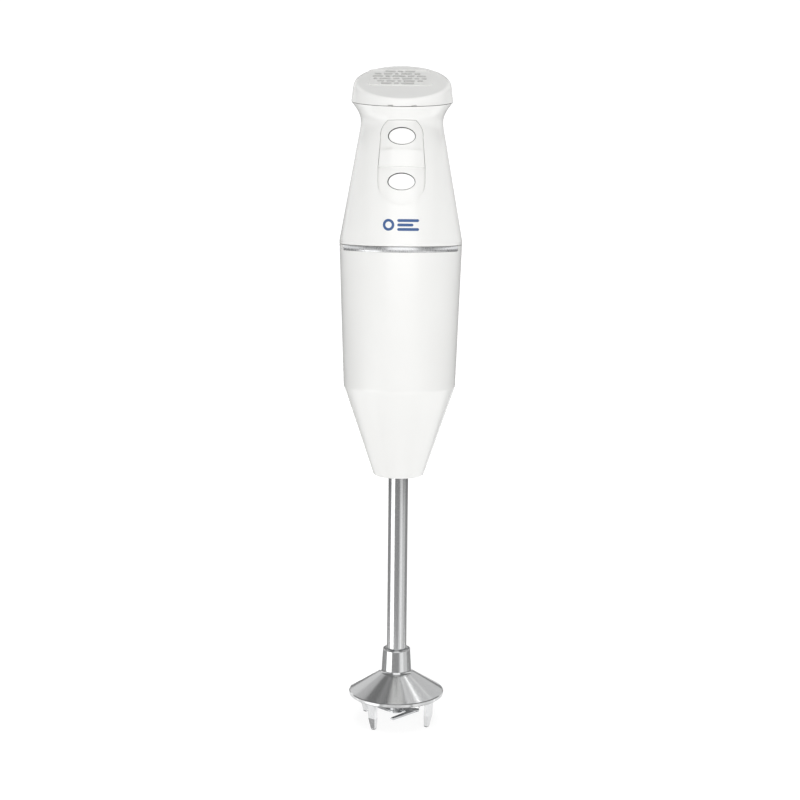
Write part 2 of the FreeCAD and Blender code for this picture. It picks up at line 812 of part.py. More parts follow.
def cooling_fan():
    hub = tube(MOTOR_SHAFT_RADIUS, 4.8, 195.0, 201.0)
    disc = tube(4.5, 18.0, 195.0, 196.0)
    vane = block((4.5, 17.8), (-0.45, 0.45), (195.5, 200.8))
    return fused([hub, disc] + around(vane, 10))


def stator_core():
    """Two-pole laminated field frame, its poles on the X axis."""
    ring = tube(STATOR_BORE, STATOR_RADIUS, STACK_BOTTOM, STACK_TOP)
    bore = ARMATURE_RADIUS + AIR_GAP
    stem = block((bore, STATOR_BORE + 1), (-8.6, 8.6), (STACK_BOTTOM, STACK_TOP))
    face = 16.1
    span = 116
    section = [(bore, STACK_BOTTOM), (face, STACK_BOTTOM), (face, STACK_TOP), (bore, STACK_TOP)]
    shoe = turned(revolved(section, span), -span / 2)
    pole = fused([stem.cut(Part.makeCylinder(bore, 400)), shoe])
    core = fused([ring, pole, turned(pole, 180)])
    for y in (-BOLT_CIRCLE, BOLT_CIRCLE):
        core = core.cut(rod(BOLT_RADIUS + 0.1, (0, y, STACK_BOTTOM - 1), (0, y, STACK_TOP + 1)))
    return core


def field_coil(side):
    """Coil wound round one pole, bent to the frame's curve."""
    frame = tube(16.3, STATOR_BORE - 0.2, 203.6, 238.4)
    reach = block((2, 25), (-15.2, 15.2), (200, 242))
    window = block((2, 25), (-8.75, 8.75), (STACK_BOTTOM - 0.15, STACK_TOP + 0.15))
    coil = frame.common(reach).cut(window)
    return turned(coil, 180) if side == "left" else coil


def bracket_legs(bottom, top):
    return [rod(3.6, (0, y, bottom), (0, y, top)) for y in (-BOLT_CIRCLE, BOLT_CIRCLE)]


def bolt_holes(bottom, top):
    return [rod(BOLT_RADIUS + 0.1, (0, y, bottom), (0, y, top)) for y in (-BOLT_CIRCLE, BOLT_CIRCLE)]


def lower_bracket():
    disc = Part.makeCylinder(26.5, BRACKET_THICK, Vector(0, 0, BRACKET_LOW))
    boss = Part.makeCylinder(8.5, 10.1, Vector(0, 0, 183.0))
    body = fused([disc, boss] + bracket_legs(BRACKET_LOW + 1, STACK_BOTTOM - 0.05))
    vent = rod(3.8, (16, 0, 185), (16, 0, 198))
    cuts = bolt_holes(185, 210) + around(vent, 6)
    cuts.append(rod(5.5, (0, 0, 184.2), (0, 0, 204.2)))
    cuts.append(rod(3.6, (0, 0, 180), (0, 0, 200)))
    for cut in cuts:
        body = body.cut(cut)
    return body


def upper_bracket():
    """Top end shield: bush boss, legs down to the stator and a block for each brush holder."""
    disc = Part.makeCylinder(27.3, BRACKET_THICK, Vector(0, 0, BRACKET_HIGH))
    boss = Part.makeCylinder(8.5, 9.5, Vector(0, 0, BRACKET_HIGH))
    blocks = [turned(block((12.3, 25.6), (-5.6, 5.6), (244.8, BRACKET_HIGH + 1)), a) for a in (0, 180)]
    body = fused([disc, boss] + bracket_legs(STACK_TOP + 0.05, BRACKET_HIGH + 1) + blocks)
    seats = [turned(block((11, 27), (-3.5, 3.5), (246.2, 252.4)), a) for a in (0, 180)]
    lead_hole = rod(1.6, (16, 15, 250), (16, 15, 265))
    lead_holes = [turned(lead_hole, a) for a in (0, 90, 180, 270)]
    cuts = bolt_holes(230, 265) + seats + lead_holes
    cuts.append(rod(5.5, (0, 0, 258.6), (0, 0, 278.6)))
    cuts.append(rod(3.6, (0, 0, 250), (0, 0, 270)))
    for cut in cuts:
        body = body.cut(cut)
    return body


def motor_bush(bottom, top):
    return tube(MOTOR_SHAFT_RADIUS + RUNNING, 5.5, bottom, top)


def thrust_washer(bottom, top):
    return tube(MOTOR_SHAFT_RADIUS, 6.2, bottom, top)


def motor_isolators():
    """Rubber rings that hold the motor's two ends clear of the housing."""
    return Part.Compound([tube(25.5, 27.05, 186.6, 190.0), tube(25.6, 27.2, 260.1, 263.1)])


def motor_bolts():
    bolts = []
    for y in (-BOLT_CIRCLE, BOLT_CIRCLE):
        shank = rod(BOLT_RADIUS, (0, y, 187.3), (0, y, 260.1))
        head = rod(2.9, (0, y, 260.02), (0, y, 262.2))
        slot = block((-3, 3), (y - 0.4, y + 0.4), (261.3, 263))
        bolts.append(fused([shank, head]).cut(slot))
    return Part.Compound(bolts)


def motor_nuts():
    return Part.Compound([hexagon_nut(5.0, BOLT_RADIUS, 187.8, BRACKET_LOW - 0.02, (0, y))
                          for y in (-BOLT_CIRCLE, BOLT_CIRCLE)])


def brush_holder(side):
    """Brass guide tube for one brush, closed at its outer end."""
    guide = block((11.6, 26.4), (-3.5, 3.5), (246.2, 252.4))
    channel = block((11, 25.8), (-3.0, 3.0), (246.7, 251.9))
    holder = guide.cut(channel)
    return turned(holder, 180) if side == "left" else holder


def carbon_brush(side):
    brush = block((8.0, 19.4), (-2.9, 2.9), (BRUSH_HEIGHT - 2.5, BRUSH_HEIGHT + 2.5))
    brush = brush.cut(Part.makeCylinder(COMMUTATOR_RADIUS + 0.05, 300))
    return turned(brush, 180) if side == "left" else brush


def brush_spring(side):
    spring = coil_spring(2.0, 0.2, 6.2, 6)
    spring.rotate(ORIGIN, Y_AXIS, 90)
    spring.translate(Vector(19.5, 0, BRUSH_HEIGHT))
    return turned(spring, 180) if side == "left" else spring


def shaft_coupling():
    """Sleeve joining the drive shaft to the motor shaft, held by two grub screws."""
    sleeve = Part.makeCylinder(6.5, 17.5, Vector(0, 0, 159.5))
    sleeve = sleeve.makeFillet(0.8, [e for e in sleeve.Edges if isinstance(e.Curve, Part.Circle)])
    cuts = [
        Part.makeCylinder(DRIVE_SHAFT_RADIUS, 9.0, Vector(0, 0, 159)),
        Part.makeCylinder(MOTOR_SHAFT_RADIUS, 10.0, Vector(0, 0, 168)),
        rod(1.5, (0, 0, 163.6), (0, 8, 163.6)),
        rod(1.5, (0, 0, 172.8), (0, 8, 172.8)),
    ]
    for cut in cuts:
        sleeve = sleeve.cut(cut)
    return sleeve


def grub_screws():
    screws = []
    for height, shaft_radius in ((163.6, DRIVE_SHAFT_RADIUS), (172.8, MOTOR_SHAFT_RADIUS)):
        screw = rod(1.5, (0, 0, height), (0, 6.2, height))
        screws.append(screw.cut(rod(shaft_radius, (0, 0, height - 5), (0, 0, height + 5))))
    return Part.Compound(screws)


# ---------------------------------------------------------------- leads inside the housing
LEAD_RADIUS = 0.8
BRUSH_LEAD = [
    (8.0, -2.5, 286.6),
    (8.6, 4.0, 284.5),
    (12.5, 10.5, 278.0),
    (16.0, 15.0, 267.0),
    (16.0, 15.0, 254.6),
]
FIELD_LEAD = [
    (-8.0, -2.5, 286.6),
    (-8.6, 4.0, 284.5),
    (-12.0, 11.0, 278.0),
    (-15.0, 16.0, 267.0),
    (-15.0, 16.0, 240.0),
]


def motor_leads():
    return Part.Compound([tube_along(route, LEAD_RADIUS) for route in (BRUSH_LEAD, FIELD_LEAD)])


NODES = {
    "bell_guard": bell_guard,
    "shaft_tube": shaft_tube,
    "lower_shaft_bush": lambda: shaft_bush(28.0, 40.0),
    "upper_shaft_bush": lambda: shaft_bush(146.0, 156.8),
    "shaft_seal": shaft_seal,
    "seal_retainer": seal_retainer,
    "splash_disc": splash_disc,
    "drive_pin": drive_pin,
    "drive_shaft": drive_shaft,
    "shaft_clip": shaft_clip,
    "blade_hub": blade_hub,
    "cutting_blade": cutting_blade,
    "tube_nut": lambda: hexagon_nut(16.0, TUBE_RADIUS + 0.02, 152.1, 156.6),
    "tube_o_ring": lambda: Part.makeTorus(TUBE_RADIUS + 0.86, 0.72, Vector(0, 0, 145.5)),
    "lower_housing": lower_housing,
    "upper_housing": upper_housing,
    "trim_strip": trim_strip,
    "top_cap": top_cap,
    "cord_gland": cord_gland,
    "cap_screws": cap_screws,
    "cord_clamp": cord_clamp,
    "clamp_screws": clamp_screws,
    "button_plate": button_plate,
    "button_low": lambda: button("low"),
    "button_high": lambda: button("high"),
    "spring_low": lambda: button_spring("low"),
    "spring_high": lambda: button_spring("high"),
    "plunger_low": lambda: switch_plunger("low"),
    "plunger_high": lambda: switch_plunger("high"),
    "switch_carrier": switch_carrier,
    "carrier_screws": carrier_screws,
    "microswitch_low": lambda: microswitch("low"),
    "microswitch_high": lambda: microswitch("high"),
    "control_board": control_board,
    "suppression_capacitor": suppression_capacitor,
    "rectifier_diode": rectifier_diode,
    "varistor": varistor,
    "motor_shaft": motor_shaft,
    "armature_core": armature_core,
    "armature_winding": armature_winding,
    "commutator": commutator,
    "cooling_fan": cooling_fan,
    "stator_core": stator_core,
    "field_coil_left": lambda: field_coil("left"),
    "field_coil_right": lambda: field_coil("right"),
    "lower_bracket": lower_bracket,
    "upper_bracket": upper_bracket,
    "motor_bushes": lambda: Part.Compound([motor_bush(184.3, 193.0), motor_bush(258.7, 266.4)]),
    "thrust_washers": lambda: Part.Compound([thrust_washer(182.0, 182.9), thrust_washer(255.6, 256.8)]),
    "motor_isolators": motor_isolators,
    "motor_bolts": motor_bolts,
    "motor_nuts": motor_nuts,
    "brush_holders": lambda: Part.Compound([brush_holder("left"), brush_holder("right")]),
    "brush_left": lambda: carbon_brush("left"),
    "brush_right": lambda: carbon_brush("right"),
    "brush_spring_left": lambda: brush_spring("left"),
    "brush_spring_right": lambda: brush_spring("right"),
    "shaft_coupling": shaft_coupling,
    "grub_screws": grub_screws,
    "motor_leads": motor_leads,
}


def main():
    os.makedirs("parts", exist_ok=True)
    for name, make in NODES.items():
        shape = make()
        sound = all(solid.isValid() and solid.Volume > 0 for solid in shape.Solids)
        state = "" if shape.Solids and sound else "  BAD"
        print(f"{name}: {len(shape.Solids)} solid(s), {shape.Volume:.1f} mm3{state}")
        shape.exportStep(f"parts/{name}.step")


main()
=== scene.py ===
import json
import math

import bmesh
import bpy
from mathutils import Euler, Matrix, Vector


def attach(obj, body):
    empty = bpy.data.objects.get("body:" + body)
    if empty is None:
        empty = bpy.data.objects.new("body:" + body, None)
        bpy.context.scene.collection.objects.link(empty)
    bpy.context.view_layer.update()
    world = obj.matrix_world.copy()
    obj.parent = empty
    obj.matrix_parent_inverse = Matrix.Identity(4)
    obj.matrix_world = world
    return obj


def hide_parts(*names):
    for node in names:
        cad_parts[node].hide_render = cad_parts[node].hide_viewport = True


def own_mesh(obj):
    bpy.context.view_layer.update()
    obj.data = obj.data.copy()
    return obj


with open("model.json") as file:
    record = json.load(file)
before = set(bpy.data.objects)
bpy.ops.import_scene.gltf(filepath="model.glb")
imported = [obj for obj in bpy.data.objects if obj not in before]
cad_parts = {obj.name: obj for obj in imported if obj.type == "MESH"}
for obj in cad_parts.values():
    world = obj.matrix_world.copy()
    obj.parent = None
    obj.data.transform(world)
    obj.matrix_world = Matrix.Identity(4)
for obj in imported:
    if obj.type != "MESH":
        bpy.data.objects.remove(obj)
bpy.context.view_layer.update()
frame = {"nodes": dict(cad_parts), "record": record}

MM = 0.001


# ---------------------------------------------------------------- camera
CAMERA_PITCH = math.radians(8.4)
CAMERA_ROLL = math.radians(0.6)
CAMERA_DISTANCE = 834 * MM
CAMERA_LENS = 69.66
AIM_HEIGHT = 179.3 * MM
AIM_SIDE = 0.45 * MM


def make_camera():
    """Camera in front of the buttons, a little above the object's middle and looking slightly down."""
    data = bpy.data.cameras.new("camera")
    data.lens = CAMERA_LENS
    data.sensor_width = 36
    camera = bpy.data.objects.new("camera", data)
    bpy.context.collection.objects.link(camera)
    reach = CAMERA_DISTANCE * math.cos(CAMERA_PITCH)
    rise = CAMERA_DISTANCE * math.sin(CAMERA_PITCH)
    camera.location = (AIM_SIDE, -reach, AIM_HEIGHT + rise)
    level = Euler((math.pi / 2 - CAMERA_PITCH, 0, 0)).to_matrix()
    camera.rotation_euler = (level @ Matrix.Rotation(CAMERA_ROLL, 3, "Z")).to_euler()
    bpy.context.scene.camera = camera


# ---------------------------------------------------------------- material helpers
class Shader:
    """Node tree of one material, built from a Principled shader outwards."""

    def __init__(self, name, color, roughness, metallic=0.0, **sockets):
        self.material = bpy.data.materials.new(name)
        self.material.use_nodes = True
        self.nodes = self.material.node_tree.nodes
        self.links = self.material.node_tree.links
        self.main = self.nodes["Principled BSDF"]
        self.main.inputs["Base Color"].default_value = (*color, 1)
        self.main.inputs["Roughness"].default_value = roughness
        self.main.inputs["Metallic"].default_value = metallic
        for socket, value in sockets.items():
            self.main.inputs[socket.replace("_", " ")].default_value = value
        self.bump_end = None

    def add(self, kind, **settings):
        node = self.nodes.new(kind)
        for key, value in settings.items():
            setattr(node, key, value)
        return node

    def link(self, source, target):
        self.links.new(source, target)

    def place(self, stretch=(1, 1, 1)):
        """Object coordinates in metres, stretched per axis."""
        where = self.add("ShaderNodeTexCoord").outputs["Object"]
        mapping = self.add("ShaderNodeMapping")
        mapping.inputs["Scale"].default_value = stretch
        self.link(where, mapping.inputs["Vector"])
        return mapping.outputs["Vector"]

    def polar(self, around=1.0, along=1.0, inward=0.0):
        """Coordinates wrapped round the drive axis, for turned and brushed surfaces."""
        split = self.add("ShaderNodeSeparateXYZ")
        self.link(self.add("ShaderNodeTexCoord").outputs["Object"], split.inputs[0])
        length = self.add("ShaderNodeVectorMath", operation="LENGTH")
        flat = self.add("ShaderNodeCombineXYZ")
        self.link(split.outputs["X"], flat.inputs["X"])
        self.link(split.outputs["Y"], flat.inputs["Y"])
        self.link(flat.outputs[0], length.inputs[0])
        unit = self.add("ShaderNodeVectorMath", operation="NORMALIZE")
        self.link(flat.outputs[0], unit.inputs[0])
        scaled = self.add("ShaderNodeVectorMath", operation="SCALE")
        self.link(unit.outputs[0], scaled.inputs[0])
        scaled.inputs["Scale"].default_value = around
        lift = self.maths("MULTIPLY", split.outputs["Z"], along)
        depth = self.maths("MULTIPLY", length.outputs["Value"], inward)
        joined = self.add("ShaderNodeCombineXYZ")
        self.link(self.maths("ADD", lift, depth), joined.inputs["Z"])
        total = self.add("ShaderNodeVectorMath", operation="ADD")
        self.link(scaled.outputs[0], total.inputs[0])
        self.link(joined.outputs[0], total.inputs[1])
        return total.outputs[0]

    def maths(self, operation, first, second):
        node = self.add("ShaderNodeMath", operation=operation)
        for socket, value in zip(node.inputs, (first, second)):
            if isinstance(value, (int, float)):
                socket.default_value = value
            else:
                self.link(value, socket)
        return node.outputs[0]

    def noise(self, vector, scale, detail=4.0, rough=0.5):
        node = self.add("ShaderNodeTexNoise")
        node.inputs["Scale"].default_value = scale
        node.inputs["Detail"].default_value = detail
        node.inputs["Roughness"].default_value = rough
        self.link(vector, node.inputs["Vector"])
        return node.outputs["Fac"]

    def spread(self, value, low, high, start=0.3, end=0.7):
        """Maps a value between start and end onto low to high."""
        node = self.add("ShaderNodeMapRange")
        node.inputs["From Min"].default_value = start
        node.inputs["From Max"].default_value = end
        node.inputs["To Min"].default_value = low
        node.inputs["To Max"].default_value = high
        self.link(value, node.inputs["Value"])
        return node.outputs["Result"]

    def color_between(self, value, first, second):
        node = self.add("ShaderNodeMix", data_type="RGBA")
        node.inputs["A"].default_value = (*first, 1)
        node.inputs["B"].default_value = (*second, 1)
        self.link(value, node.inputs["Factor"])
        self.link(node.outputs["Result"], self.main.inputs["Base Color"])

    def roughness(self, value):
        self.link(value, self.main.inputs["Roughness"])

    def bump(self, height, distance, strength=1.0):
        node = self.add("ShaderNodeBump")
        node.inputs["Strength"].default_value = strength
        node.inputs["Distance"].default_value = distance
        self.link(height, node.inputs["Height"])
        if self.bump_end is not None:
            self.link(self.bump_end, node.inputs["Normal"])
        self.bump_end = node.outputs["Normal"]
        self.link(self.bump_end, self.main.inputs["Normal"])


# ---------------------------------------------------------------- materials
def moulded_plastic(name, color, roughness, waviness=0.00002, coat=0.0):
    """Glossy moulded plastic: faint mould waviness, fine surface grain and a slightly uneven gloss."""
    shader = Shader(name, color, roughness, Coat_Weight=coat, Coat_Roughness=0.08)
    place = shader.place()
    shader.bump(shader.noise(place, 60, 2), waviness, 0.5)
    shader.bump(shader.noise(place, 4200, 2), 0.000002, 0.35)
    shader.roughness(shader.spread(shader.noise(place, 140, 5), roughness * 0.85, roughness * 1.2))
    tint = [c * 0.975 for c in color]
    shader.color_between(shader.spread(shader.noise(place, 25, 3), 0, 1), tint, color)
    return shader.material


def brushed_metal(name, color, roughness, stretch, depth=0.0000015):
    """Steel with fine lines, whose grain changes at its own rate around, along and out from the axis."""
    shader = Shader(name, color, roughness, 1.0)
    around, along, inward = stretch
    lines = shader.noise(shader.polar(around, along, inward), 1.0, 6, 0.65)
    shader.bump(lines, depth, 0.6)
    shader.roughness(shader.spread(lines, roughness * 0.7, roughness * 1.45))
    darker = [c * 0.84 for c in color]
    shader.color_between(shader.spread(lines, 0, 1), darker, color)
    return shader.material


def plain_metal(name, color, roughness, scale=900, depth=0.000004):
    """Metal with an even fine texture."""
    shader = Shader(name, color, roughness, 1.0)
    grain = shader.noise(shader.place(), scale, 5)
    shader.bump(grain, depth, 0.6)
    shader.roughness(shader.spread(grain, roughness * 0.75, roughness * 1.35))
    shader.color_between(shader.spread(grain, 0, 1), [c * 0.85 for c in color], color)
    return shader.material


def matt_surface(name, color, roughness=0.6, scale=1200, depth=0.00001, contrast=0.75):
    """Rubber, inner mouldings and other matt surfaces with a fine grain."""
    shader = Shader(name, color, roughness)
    grain = shader.noise(shader.place(), scale, 6, 0.6)
    shader.bump(grain, depth, 0.7)
    shader.roughness(shader.spread(grain, roughness * 0.85, min(1, roughness * 1.15)))
    shader.color_between(shader.spread(grain, 0, 1), [c * contrast for c in color], color)
    return shader.material


def banded(name, first, second, period, roughness, metallic, depth=0.00003):
    """Stacked sheets or wound wire: bands along the drive axis, one in each period, in metres."""
    shader = Shader(name, first, roughness, metallic)
    wave = shader.add("ShaderNodeTexWave", wave_type="BANDS", bands_direction="Z", wave_profile="SIN")
    wave.inputs["Scale"].default_value = 0.314 / period
    wave.inputs["Distortion"].default_value = 0.3
    shader.link(shader.place(), wave.inputs["Vector"])
    shader.bump(wave.outputs["Fac"], depth, 0.8)
    shader.color_between(wave.outputs["Fac"], second, first)
    uneven = shader.noise(shader.place(), 500, 4)
    shader.roughness(shader.spread(uneven, roughness * 0.8, roughness * 1.3))
    return shader.material


def pad_ink():
    """Blue printing ink, a little uneven in cover."""
    shader = Shader("pad_ink", (0.034, 0.10, 0.275), 0.35)
    cover = shader.noise(shader.place(), 2500, 4)
    shader.color_between(shader.spread(cover, 0, 1), (0.028, 0.085, 0.24), (0.05, 0.125, 0.31))
    shader.bump(cover, 0.000003, 0.5)
    return shader.material


def make_materials():
    """One material for each slot of the record."""
    steel = (0.62, 0.63, 0.64)
    sheet, sheet_edge = (0.36, 0.37, 0.39), (0.16, 0.16, 0.17)
    enamel, enamel_gap = (0.60, 0.23, 0.08), (0.25, 0.07, 0.02)
    return {
        "white_plastic": moulded_plastic("white_plastic", (0.86, 0.86, 0.845), 0.22, coat=0.3),
        "button_plastic": moulded_plastic("button_plastic", (0.95, 0.95, 0.94), 0.3),
        "chrome_trim": brushed_metal("chrome_trim", (0.86, 0.87, 0.88), 0.3, (90, 400, 0)),
        "polished_steel": brushed_metal("polished_steel", (0.74, 0.745, 0.75), 0.16, (60, 3000, 3000)),
        "blade_steel": plain_metal("blade_steel", (0.68, 0.69, 0.70), 0.22, 1500),
        "turned_steel": brushed_metal("turned_steel", steel, 0.25, (20, 9000, 4000)),
        "sintered_bronze": plain_metal("sintered_bronze", (0.50, 0.33, 0.16), 0.45, 3000, 0.00001),
        "black_rubber": matt_surface("black_rubber", (0.025, 0.025, 0.025), 0.62),
        "gland_rubber": matt_surface("gland_rubber", (0.66, 0.66, 0.65), 0.55),
        "zinc_screw": plain_metal("zinc_screw", (0.66, 0.67, 0.68), 0.3),
        "inner_plastic": matt_surface("inner_plastic", (0.07, 0.07, 0.08), 0.5),
        "spring_steel": plain_metal("spring_steel", (0.60, 0.61, 0.63), 0.25),
        "switch_plastic": matt_surface("switch_plastic", (0.03, 0.03, 0.035), 0.45),
        "plunger_plastic": matt_surface("plunger_plastic", (0.6, 0.06, 0.04), 0.4),
        "circuit_board": matt_surface("circuit_board", (0.03, 0.18, 0.07), 0.4, 400),
        "capacitor_case": matt_surface("capacitor_case", (0.72, 0.52, 0.07), 0.35),
        "component_epoxy": matt_surface("component_epoxy", (0.03, 0.08, 0.28), 0.3),
        "lamination_steel": banded("lamination_steel", sheet, sheet_edge, 0.0005, 0.4, 0.9),
        "enamelled_copper": banded("enamelled_copper", enamel, enamel_gap, 0.0006, 0.28, 0.7),
        "commutator_copper": plain_metal("commutator_copper", (0.72, 0.36, 0.18), 0.3),
        "brass": plain_metal("brass", (0.78, 0.58, 0.24), 0.28),
        "carbon": matt_surface("carbon", (0.03, 0.03, 0.035), 0.7),
        "lead_insulation": matt_surface("lead_insulation", (0.45, 0.04, 0.03), 0.4),
    }


def dress_nodes(materials):
    """Gives each CAD node the material of its slot."""
    for entry in frame["record"]["subparts"]:
        node = frame["nodes"][entry["node"]]
        node.data.materials.clear()
        node.data.materials.append(materials[entry["material_slot"]])


# ---------------------------------------------------------------- details and springs, in mm
TAPER_LOW = (264.8, 32.5)               # height and radius at the foot of the handle's straight taper
TAPER_HIGH = (318.5, 22.75)             # and at its head
PANEL_SLOPE = math.radians(9.94)
PANEL_CENTRE = Vector((0, -24.62, 307.75))
PLATE_RECESS = 0.8
BUTTON_HALF = (6.7, 4.1)
BUTTON_GAP = 0.45
BUTTON_SHIFT = (0.1, -0.15)             # the cap's place in its opening
BUTTON_PITCH = 23.46
BUTTON_SPRING = (2.9, 0.25, 5.4, 5)     # radius of the coil and of the wire, length, turns
SPRING_SEAT_DEPTH = 12.0                # the button springs' feet, below the panel
BRUSH_HEIGHT = 249.3
BRUSH_SPRING = (2.0, 0.2, 6.2, 6)
HOLDER_END = 25.7                       # outer end of a brush spring, from the drive axis
CAP_TOP = 347.9
CAP_TILT = math.radians(22)


def taper_radius(height):
    """Radius of the handle's straight taper at a height, in mm."""
    share = (height - TAPER_LOW[0]) / (TAPER_HIGH[0] - TAPER_LOW[0])
    return TAPER_LOW[1] + share * (TAPER_HIGH[1] - TAPER_LOW[1])


def on_taper(across, height, lift):
    """Point on the front of the taper, in metres, from mm across, mm up and mm outward."""
    radius = taper_radius(height) + lift
    angle = across / taper_radius(height)
    return Vector((radius * math.sin(angle), -radius * math.cos(angle), height)) * MM


def on_cap(across, up_slope, lift):
    """Point on the cap's sloping top, in metres."""
    flat = Vector((across, up_slope, lift))
    flat.rotate(Euler((CAP_TILT, 0, 0)))
    return (flat + Vector((0, 0, CAP_TOP))) * MM


def stadium(start, end, middle, half):
    """Columns (place, low, high) of a bar with round ends."""
    steps = 8
    columns = []
    for i in range(steps + 1):
        angle = math.pi / 2 * i / steps
        columns.append((start + half - half * math.cos(angle), half * math.sin(angle)))
    runs = max(2, round((end - start - 2 * half) / 0.8))
    for i in range(1, runs):
        columns.append((start + half + (end - start - 2 * half) * i / runs, half))
    for i in range(steps, -1, -1):
        angle = math.pi / 2 * i / steps
        columns.append((end - half + half * math.cos(angle), half * math.sin(angle)))
    return [(place, middle - reach, middle + reach) for place, reach in columns]


def ring_columns(centre, middle, outer, inner):
    """Closed loop of (outer point, inner point) pairs of a flat ring."""
    count = 48
    pairs = []
    for i in range(count):
        turn = 2 * math.pi * i / count
        c, s = math.cos(turn), math.sin(turn)
        far = (centre + outer * c, middle + outer * s)
        near = (centre + inner * c, middle + inner * s)
        pairs.append((far, near))
    return pairs


def raised_strip(shape, pairs, place, low, high, closed):
    """Adds a solid strip between two rows of points, from one lift to another, to a bmesh."""
    rows = []
    for first, second in pairs:
        rows.append([
            shape.verts.new(place(*first, high)),
            shape.verts.new(place(*second, high)),
            shape.verts.new(place(*second, low)),
            shape.verts.new(place(*first, low)),
        ])
    spans = list(zip(rows, rows[1:] + rows[:1])) if closed else list(zip(rows, rows[1:]))
    for now, after in spans:
        for i in range(4):
            j = (i + 1) % 4
            shape.faces.new((now[i], now[j], after[j], after[i]))
    if not closed:
        shape.faces.new(rows[0][::-1])
        shape.faces.new(rows[-1])


def finish_piece(name, shape, material, body):
    """Object from a bmesh, smooth where its faces meet at a low angle, riding a body."""
    bmesh.ops.remove_doubles(shape, verts=shape.verts, dist=1e-7)
    bmesh.ops.recalc_face_normals(shape, faces=shape.faces)
    mesh = bpy.data.meshes.new(name)
    shape.to_mesh(mesh)
    shape.free()
    mesh.materials.append(material)
    mesh.shade_smooth()
    mesh.set_sharp_from_angle(angle=math.radians(35))
    piece = bpy.data.objects.new(name, mesh)
    bpy.context.collection.objects.link(piece)
    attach(piece, body)
    return piece


def printed_mark(ink):
    """Plain pad-printed mark under the buttons: a ring and three bars."""
    middle = 274.1
    shape = bmesh.new()
    sink, lift = -0.02, 0.03
    raised_strip(shape, ring_columns(-6.4, middle, 3.0, 1.65), on_taper, sink, lift, True)
    for row, end in zip((2.25, 0.0, -2.25), (9.4, 6.4, 9.4)):
        bar = [((x, low), (x, high)) for x, low, high in stadium(-1.9, end, middle + row, 0.72)]
        raised_strip(shape, bar, on_taper, sink, lift, False)
    finish_piece("printed_mark", shape, ink, "root")


def rounded_frame(half, corner, line):
    """Loop of (outer point, inner point) pairs of a thin rounded rectangle."""
    steps = 8
    pairs = []
    for quarter in range(4):
        sign_x = 1 if quarter in (0, 3) else -1
        sign_y = 1 if quarter in (0, 1) else -1
        centre = (sign_x * (half[0] - corner), sign_y * (half[1] - corner))
        for i in range(steps + 1):
            turn = math.pi / 2 * (quarter + i / steps)
            c, s = math.cos(turn), math.sin(turn)
            outer = (centre[0] + corner * c, centre[1] + corner * s)
            inner = (centre[0] + (corner - line) * c, centre[1] + (corner - line) * s)
            pairs.append((outer, inner))
    return pairs


def cap_relief(shell, dash_shade_material):
    """Moulded data panel on the cap: a rounded frame round rows of plain dashes, the dashes in darker
    grey as painted shade for the relief's shadows.
    """
    middle = (-1.2, 5.6)

    def place(x, y, lift):
        return on_cap(middle[0] + x, middle[1] + y, lift)

    shape = bmesh.new()
    raised_strip(shape, rounded_frame((16.8, 12.4), 3.5, 0.8), place, -0.1, 0.3, True)
    finish_piece("cap_data_frame", shape, shell, "root")
    shape = bmesh.new()
    lengths = (5.5, 2.6, 6.8, 3.6, 4.6, 2.0, 6.0, 3.2)
    shortest = 2
    gap = 1.2
    top_row, row_pitch = 9.2, 3.8
    picked = 0
    for row, half_width in enumerate((8.0, 13.5, 14.5, 14.0, 12.0, 10.0)):
        up_slope = top_row - row_pitch * row
        x = -half_width
        while x < half_width - shortest:
            end = min(x + lengths[picked % len(lengths)], half_width)
            bar = [((u, low), (u, high)) for u, low, high in stadium(x, end, up_slope, 0.8)]
            raised_strip(shape, bar, place, -0.1, 0.35, False)
            x = end + gap
            picked += 1
    finish_piece("cap_data_dashes", shape, dash_shade_material, "root")


def gap_shade_ring(name, gap_shade_material, up_panel):
    """Dark ring set down in the gap round one button, closer to the button's cap than to the opening:
    painted shade that darkens the gap.
    """
    count = 96
    shape = bmesh.new()
    turn = Euler((math.pi / 2 - PANEL_SLOPE, 0, 0))
    cap_clearance, opening_clearance = 0.08, 0.01
    inner = [h + cap_clearance for h in BUTTON_HALF]
    outer = [h + BUTTON_GAP - opening_clearance for h in BUTTON_HALF]

    def place(x, y, depth):
        height = PANEL_CENTRE.z + (up_panel + y) * math.cos(PANEL_SLOPE)
        sag = x * x / (2 * taper_radius(height))
        point = Vector((x, up_panel + y, -PLATE_RECESS - sag - depth))
        point.rotate(turn)
        return (point + PANEL_CENTRE) * MM

    pairs = []
    for i in range(count):
        c, s = math.cos(2 * math.pi * i / count), math.sin(2 * math.pi * i / count)
        near = (BUTTON_SHIFT[0] + inner[0] * c, BUTTON_SHIFT[1] + inner[1] * s)
        pairs.append(((outer[0] * c, outer[1] * s), near))
    raised_strip(shape, pairs, place, 1.4, 0.3, True)
    finish_piece(name, shape, gap_shade_material, "root")


def wound_spring(node, steel, wire, place):
    """Wound spring standing on its fixed foot, in place of the CAD's rigid one."""
    coil_radius, wire_radius, length, turns = wire
    per_turn = 32
    sides = 10
    pitch = (length - 2 * wire_radius) / turns
    shape = bmesh.new()
    rings = []
    for i in range(turns * per_turn + 1):
        around = 2 * math.pi * i / per_turn
        ring = []
        for j in range(sides):
            roll = 2 * math.pi * j / sides
            reach = coil_radius + wire_radius * math.cos(roll)
            height = wire_radius * (1 + math.sin(roll)) + pitch * i / per_turn
            spot = Vector((reach * math.cos(around), reach * math.sin(around), height))
            ring.append(shape.verts.new((place @ spot) * MM))
        rings.append(ring)
    for now, after in zip(rings, rings[1:]):
        for j in range(sides):
            k = (j + 1) % sides
            shape.faces.new((now[j], now[k], after[k], after[j]))
    shape.faces.new(rings[0][::-1])
    shape.faces.new(rings[-1])
    piece = finish_piece("wound_" + node, shape, steel, "root")
    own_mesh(piece)
    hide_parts(node)


